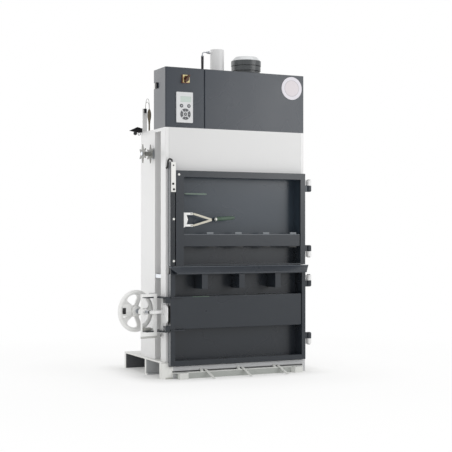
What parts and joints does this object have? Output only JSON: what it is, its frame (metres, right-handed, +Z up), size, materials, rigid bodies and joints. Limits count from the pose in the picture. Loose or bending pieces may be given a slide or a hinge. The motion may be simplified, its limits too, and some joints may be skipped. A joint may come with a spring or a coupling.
{
  "type": "recycling baler",
  "caption": "Upright baling press: two front doors, hand-wheel door lock, hydraulic press above the chamber and a dark control cover.",
  "frame": {"origin": "on the floor, midway between the front posts, in the plane of their front faces", "axes": "+X to the right along the front, +Y from the front into the machine, +Z up"},
  "size_m": [1.3768, 0.8299, 2.25],
  "materials": {
    "white_paint": "semi-gloss light grey-white powder coat",
    "dark_paint": "satin anthracite powder coat",
    "cover_paint": "satin dark grey powder coat",
    "bright_steel": "machined or zinc-plated steel",
    "chrome_rod": "hard-chromed piston rod",
    "wheel_cast": "light warm grey painted casting",
    "motor_paint": "mid-grey painted motor housing",
    "keypad_shell": "pale grey moulded keypad",
    "key_dark": "dark grey moulded key",
    "display_glass": "pale green-grey display window",
    "switch_yellow": "yellow moulded plate",
    "switch_red": "dark red moulded knob",
    "plate_red": "pale round plate",
    "green_grip": "muted green soft grip",
    "white_plastic": "white moulded housing",
    "black_rubber": "matt black rubber",
    "black_steel": "black oxide steel",
    "brown_sleeve": "olive-brown braided sleeve"
  },
  "bodies": {
    "machine_frame": {"base_frame": "white_paint", "threshold_step": "white_paint", "rear_columns": "white_paint", "chamber_walls": "white_paint", "chamber_back": "white_paint", "back_beams": "white_paint", "chamber_floor": "bright_steel", "crosshead": "white_paint", "front_panel": "white_paint", "cover_left": "cover_paint", "cover_right": "cover_paint", "switch_plate": "switch_yellow", "keypad_case": "keypad_shell", "display": "display_glass", "round_plate": "plate_red", "latch_strip": "dark_paint", "door_switch": "white_plastic", "switch_cable": "black_rubber", "hinge_brackets": "white_paint", "hinge_pins": "black_steel", "lock_anchor": "white_paint", "lock_ears": "white_paint", "cylinder_barrel": "white_paint", "oil_tank": "white_paint", "motor": "motor_paint", "motor_lid": "motor_paint", "oil_pipe": "bright_steel", "oil_hose": "black_rubber", "reel_shaft": "bright_steel", "switch_stay": "white_paint", "limit_switch": "black_steel", "strap_hook": "black_steel", "sensor_leads": "brown_sleeve", "side_bracket": "bright_steel", "front_posts": "white_paint", "side_socket": "black_steel"},
    "main_switch_body": {"main_switch": "switch_red"},
    "key_left_body": {"key_left": "key_dark"},
    "key_right_body": {"key_right": "key_dark"},
    "key_ring_body": {"key_ring": "key_dark"},
    "key_centre_body": {"key_centre": "key_dark"},
    "upper_door_body": {"upper_door": "dark_paint", "upper_beam": "dark_paint", "strap_clips": "dark_paint", "latch_bracket": "white_plastic", "grab_rod": "green_grip"},
    "latch_lever_body": {"latch_handle": "bright_steel", "latch_grip": "green_grip"},
    "lower_door_body": {"lower_door": "dark_paint", "lower_beam": "dark_paint", "strap_boxes": "dark_paint", "lock_cleats": "dark_paint"},
    "lock_claw_body": {"lock_claw": "dark_paint", "lock_yoke": "white_paint"},
    "clamp_pad_body": {"clamp_pad": "black_steel"},
    "handwheel_body": {"spindle": "bright_steel", "handwheel": "wheel_cast"},
    "strap_reel_body": {"strap_reel": "white_plastic"},
    "press_body": {"piston_rod": "chrome_rod", "platen": "white_paint"}
  },
  "joints": [
    {"name": "upper_door_swing", "type": "hinge", "parent": "machine_frame", "child": "upper_door_body", "pos_m": [0.551, -0.015, 1.0615], "axis": [0, 0, 1], "range_deg": [0, 110]},
    {"name": "lower_door_swing", "type": "hinge", "parent": "machine_frame", "child": "lower_door_body", "pos_m": [0.551, -0.015, 0.428], "axis": [0, 0, 1], "range_deg": [0, 110]},
    {"name": "latch_lever_turn", "type": "hinge", "parent": "upper_door_body", "child": "latch_lever_body", "pos_m": [-0.348, -0.018, 1.048], "axis": [0, 0, -1], "range_deg": [0, 90]},
    {"name": "lock_swing", "type": "hinge", "parent": "machine_frame", "child": "lock_claw_body", "pos_m": [-0.542, 0.215, 0.425], "axis": [0, 0, -1], "range_deg": [0, 90]},
    {"name": "screw_travel", "type": "slide", "parent": "lock_claw_body", "child": "clamp_pad_body", "axis": [-0.2487, 0.9686, 0], "range_m": [0, 0.0251]},
    {"name": "wheel_turn", "type": "hinge", "parent": "clamp_pad_body", "child": "handwheel_body", "pos_m": [-0.671, 0.156, 0.442], "axis": [0.2487, -0.9686, 0], "range_deg": [0, 900]},
    {"name": "strap_reel_spin", "type": "hinge", "parent": "machine_frame", "child": "strap_reel_body", "pos_m": [-0.5775, 0.214, 1.493], "axis": [1, 0, 0], "continuous": true},
    {"name": "main_switch_turn", "type": "hinge", "parent": "machine_frame", "child": "main_switch_body", "pos_m": [-0.377, -0.0043, 1.98], "axis": [0, -1, 0], "range_deg": [0, 90]},
    {"name": "press_stroke", "type": "slide", "parent": "machine_frame", "child": "press_body", "axis": [0, 0, -1], "range_m": [0, 0.66]},
    {"name": "key_left_press", "type": "slide", "parent": "machine_frame", "child": "key_left_body", "axis": [0, 1, 0], "range_m": [0, 0.001], "stiffness_N_per_m": 400},
    {"name": "key_right_press", "type": "slide", "parent": "machine_frame", "child": "key_right_body", "axis": [0, 1, 0], "range_m": [0, 0.001], "stiffness_N_per_m": 400},
    {"name": "key_ring_press", "type": "slide", "parent": "machine_frame", "child": "key_ring_body", "axis": [0, 1, 0], "range_m": [0, 0.001], "stiffness_N_per_m": 400},
    {"name": "key_centre_press", "type": "slide", "parent": "machine_frame", "child": "key_centre_body", "axis": [0, 1, 0], "range_m": [0, 0.001], "stiffness_N_per_m": 400}
  ],
  "couplings": [
    {"joint": "screw_travel", "follows": "wheel_turn", "m_per_rad": 0.0015915}
  ]
}
